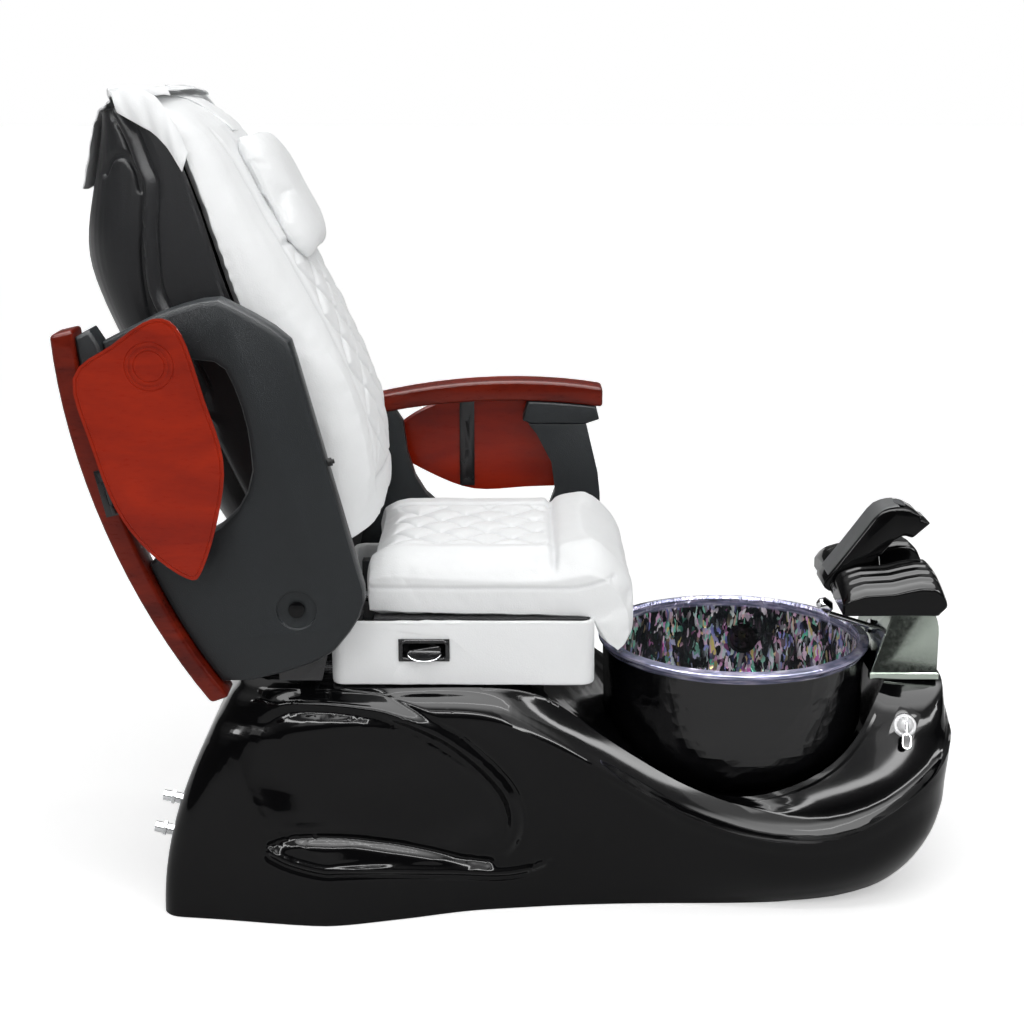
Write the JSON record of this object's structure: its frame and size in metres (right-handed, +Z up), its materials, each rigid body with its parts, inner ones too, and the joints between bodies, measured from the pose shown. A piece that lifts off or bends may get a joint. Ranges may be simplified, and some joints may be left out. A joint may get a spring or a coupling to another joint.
{
  "type": "pedicure spa chair",
  "caption": "Pedicure spa chair: sculpted basin base with glass foot bowl, sliding quilted seat, reclining massage back, fold-up arms with flip-up trays and a footrest pedestal.",
  "frame": {"origin": "on the floor at the centre plane, at the sole of the middle levelling foot under the seat's front third", "axes": "+X to the front of the chair (footrest end), +Y to the sitter's left, +Z up"},
  "size_m": [1.5599, 0.776, 1.4553],
  "materials": {
    "gloss_black": "gloss",
    "dark_plastic": "fine grained",
    "black_plastic": "satin",
    "bowl_glass": "dark hammered glass, iridescent inside",
    "white_leather": "soft satin",
    "red_lacquer": "lacquered",
    "maroon_lacquer": "lacquered",
    "chrome": "polished",
    "bright_steel": "brushed",
    "painted_steel": "powder coat",
    "pedestal_paint": "metallic gloss",
    "rubber": "matte",
    "hose": "braided",
    "plywood": "plain",
    "brass": "plain",
    "roller_plastic": "satin",
    "white_plastic": "gloss"
  },
  "bodies": {
    "base": {"base_shell": "gloss_black", "chassis_frame": "painted_steel", "levelling_feet": "rubber", "bowl": "bowl_glass", "drain_flange": "chrome", "drain_pipe": "white_plastic", "jet_cover": "chrome", "jet_motor": "painted_steel", "mixer_plate": "white_plastic", "mixer_valve": "brass", "spout_arm": "chrome", "spray_head": "chrome", "pedestal": "pedestal_paint", "footrest_platform": "gloss_black", "support_pin": "bright_steel", "water_inlets": "chrome", "supply_hoses": "hose", "control_box": "painted_steel", "power_inlet": "black_plastic", "seat_rails": "bright_steel"},
    "stopper": {"drain_stopper": "chrome"},
    "mixer_dome": {"mixer_dome": "white_plastic"},
    "mixer_lever": {"mixer_lever": "chrome"},
    "footrest_support": {"footrest_support": "black_plastic"},
    "prop_stay": {"prop_stay": "chrome"},
    "seat": {"seat_carriage": "painted_steel", "side_plates": "painted_steel", "seat_board": "plywood", "seat_cushion": "white_leather", "seat_apron": "white_leather", "lever_bezel": "black_plastic", "actuator_body": "painted_steel", "arm_pivot_bolts": "bright_steel"},
    "slide_lever": {"slide_lever": "black_plastic"},
    "actuator_rod": {"actuator_rod": "bright_steel"},
    "back": {"back_shell": "dark_plastic", "back_frame": "painted_steel", "back_cushion": "white_leather", "top_flap": "white_leather", "pillow": "white_leather", "pillow_strap": "white_leather", "massage_rails": "bright_steel"},
    "massage_carriage": {"massage_carriage": "painted_steel"},
    "massage_rollers": {"massage_rollers": "roller_plastic"},
    "right_arm": {"right_arm_panel": "dark_plastic", "right_arm_rail": "maroon_lacquer", "right_arm_block": "dark_plastic", "right_tray_hinge": "black_plastic", "right_arm_bumper": "rubber"},
    "right_tray": {"right_tray_strip": "black_plastic", "right_tray": "red_lacquer"},
    "left_arm": {"left_arm_panel": "dark_plastic", "left_arm_rail": "maroon_lacquer", "left_arm_block": "dark_plastic", "left_tray_hinge": "black_plastic", "left_arm_bumper": "rubber"},
    "left_tray": {"left_tray_strip": "black_plastic", "left_tray": "red_lacquer"}
  },
  "joints": [
    {"name": "seat_slide", "type": "slide", "parent": "base", "child": "seat", "axis": [1, 0, 0], "range_m": [-0.12, 0]},
    {"name": "recline", "type": "hinge", "parent": "seat", "child": "back", "pos_m": [-0.33, 0, 0.6], "axis": [0, -1, 0], "range_deg": [0, 35]},
    {"name": "right_arm_fold", "type": "hinge", "parent": "seat", "child": "right_arm", "pos_m": [-0.365, 0, 0.585], "axis": [0, 1, 0], "range_deg": [0, 103]},
    {"name": "left_arm_fold", "type": "hinge", "parent": "seat", "child": "left_arm", "pos_m": [-0.365, 0, 0.585], "axis": [0, -1, 0], "range_deg": [0, 103]},
    {"name": "right_tray_flip", "type": "hinge", "parent": "right_arm", "child": "right_tray", "pos_m": [-0.66611, -0.366, 0.79566], "axis": [0.225, 0, -0.9744], "range_deg": [0, 88]},
    {"name": "left_tray_flip", "type": "hinge", "parent": "left_arm", "child": "left_tray", "pos_m": [-0.092, 0.366, 0.831], "axis": [1, 0, 0], "range_deg": [0, 88]},
    {"name": "lever_pull", "type": "hinge", "parent": "seat", "child": "slide_lever", "pos_m": [-0.13, 0, 0.491], "axis": [0, 1, 0], "range_deg": [0, 12], "stiffness_Nm_per_rad": 0.6},
    {"name": "support_fold", "type": "hinge", "parent": "base", "child": "footrest_support", "pos_m": [0.596, 0, 0.543], "axis": [0, 1, 0], "range_deg": [0, 25]},
    {"name": "stay_fold", "type": "hinge", "parent": "footrest_support", "child": "prop_stay", "pos_m": [0.682, 0, 0.616], "axis": [0, 1, 0], "range_deg": [0, 53]},
    {"name": "mixer_turn", "type": "hinge", "parent": "base", "child": "mixer_dome", "pos_m": [0.713, -0.176, 0.317], "axis": [0.0475, -0.8387, 0.5426], "range_deg": [-45, 45]},
    {"name": "mixer_lift", "type": "hinge", "parent": "mixer_dome", "child": "mixer_lever", "pos_m": [0.71365, -0.18741, 0.32438], "axis": [-0.9962, 0, 0.0872], "range_deg": [0, 25]},
    {"name": "stopper_lift", "type": "slide", "parent": "base", "child": "stopper", "axis": [0, 0, 1], "range_m": [0, 0.009]},
    {"name": "massage_travel", "type": "slide", "parent": "back", "child": "massage_carriage", "axis": [-0.342, 0, 0.9397], "range_m": [-0.27, 0.27]},
    {"name": "knead", "type": "hinge", "parent": "massage_carriage", "child": "massage_rollers", "pos_m": [-0.51875, 0, 0.97825], "axis": [0, 1, 0], "continuous": true},
    {"name": "actuator_stroke", "type": "slide", "parent": "seat", "child": "actuator_rod", "axis": [1, 0, 0], "range_m": [0, 0.0572]}
  ],
  "couplings": [
    {"joint": "stay_fold", "follows": "support_fold", "ratio": 2.12},
    {"joint": "actuator_stroke", "follows": "recline", "m_per_rad": 0.0936}
  ]
}
